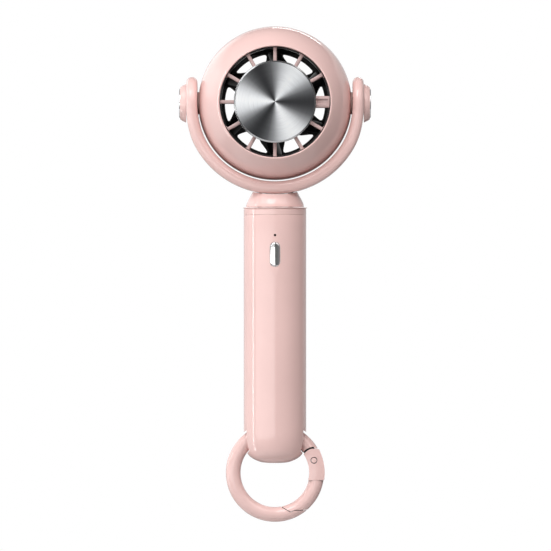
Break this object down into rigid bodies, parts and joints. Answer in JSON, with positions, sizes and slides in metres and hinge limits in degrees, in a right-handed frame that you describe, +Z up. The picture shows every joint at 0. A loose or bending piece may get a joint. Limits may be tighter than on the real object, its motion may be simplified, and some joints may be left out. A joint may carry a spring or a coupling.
{
  "type": "handheld electric fan",
  "caption": "Handheld fan with a ball head that tilts in a U yoke on a round handle, a metal plate in its grille, a push button and a gated carry ring.",
  "frame": {"origin": "middle of the grip, on the handle's axis", "axes": "+Z up the handle to the head, +X to the right when looking at the front, and the fan's front faces -Y"},
  "size_m": [0.0918, 0.0438, 0.2379],
  "materials": {
    "pink_plastic": "glossy, clear-coated blush pink",
    "pink_band": "glossy blush pink",
    "black_plastic": "satin black",
    "brushed_plate": "circular-brushed, clear anodised",
    "chrome_button": "mirror-bright",
    "chrome_insert": "polished",
    "plain_steel": "satin",
    "rotor_steel": "satin",
    "copper_winding": "enamelled wire and laminations",
    "circuit": "green solder mask",
    "cell_wrap": "shrink-wrapped cell",
    "foam": "foam",
    "light_pipe": "clear acrylic",
    "white_plastic": "gloss",
    "ceramic": "matt ceramic",
    "sink_alloy": "extruded",
    "nylon_grey": "matt",
    "magnet": "matt",
    "washer": "matt"
  },
  "bodies": {
    "handle": {"handle_shell": "pink_plastic", "top_collar": "pink_plastic", "neck_dome": "pink_plastic", "yoke": "pink_band", "left_pivot_knob": "pink_plastic", "right_pivot_knob": "pink_plastic", "left_knob_insert": "chrome_insert", "right_knob_insert": "chrome_insert", "left_pivot_pin": "plain_steel", "right_pivot_pin": "plain_steel", "left_pivot_nut": "plain_steel", "right_pivot_nut": "plain_steel", "left_friction_washer": "washer", "right_friction_washer": "washer", "neck_screw_left": "plain_steel", "neck_screw_right": "plain_steel", "battery_cell": "cell_wrap", "battery_foot_pad": "foam", "battery_chassis": "black_plastic", "circuit_board": "circuit", "tact_switch": "nylon_grey", "indicator_led": "white_plastic", "led_light_pipe": "light_pipe", "usb_socket": "plain_steel"},
    "head": {"head_front_shell": "pink_plastic", "head_rear_shell": "pink_plastic", "duct_liner": "black_plastic", "front_grille": "pink_plastic", "cold_plate": "brushed_plate", "thermoelectric_module": "ceramic", "heat_sink": "sink_alloy", "rear_guard": "black_plastic", "bearing_front": "plain_steel", "bearing_rear": "plain_steel", "stator_core": "copper_winding", "driver_board": "circuit", "head_screw_1": "plain_steel", "head_screw_2": "plain_steel", "head_screw_3": "plain_steel", "head_screw_4": "plain_steel"},
    "impeller": {"impeller": "black_plastic", "rotor_bell": "rotor_steel", "magnet_ring": "magnet", "motor_shaft": "plain_steel"},
    "button": {"button_cap": "chrome_button"},
    "ring": {"ring_body": "pink_plastic", "gate_pin": "plain_steel"},
    "gate": {"ring_gate": "pink_plastic", "gate_spring": "plain_steel"}
  },
  "joints": [
    {"name": "head_tilt", "type": "hinge", "parent": "handle", "child": "head", "pos_m": [0, 0, 0.1114], "axis": [1, 0, 0], "range_deg": [-90, 90]},
    {"name": "impeller_spin", "type": "hinge", "parent": "head", "child": "impeller", "pos_m": [0, 0, 0.1114], "axis": [0, 1, 0], "continuous": true},
    {"name": "button_press", "type": "slide", "parent": "handle", "child": "button", "axis": [0, 1, 0], "range_m": [0, 0.0005], "stiffness_N_per_m": 500, "springref_m": -0.001},
    {"name": "ring_swing", "type": "hinge", "parent": "handle", "child": "ring", "pos_m": [0, 0, -0.04589], "axis": [1, 0, 0], "range_deg": [-20, 20]},
    {"name": "gate_open", "type": "hinge", "parent": "ring", "child": "gate", "pos_m": [0.0187, 0, -0.05995], "axis": [0, 1, 0], "range_deg": [0, 32], "stiffness_Nm_per_rad": 0.02, "springref_deg": -20.05}
  ]
}
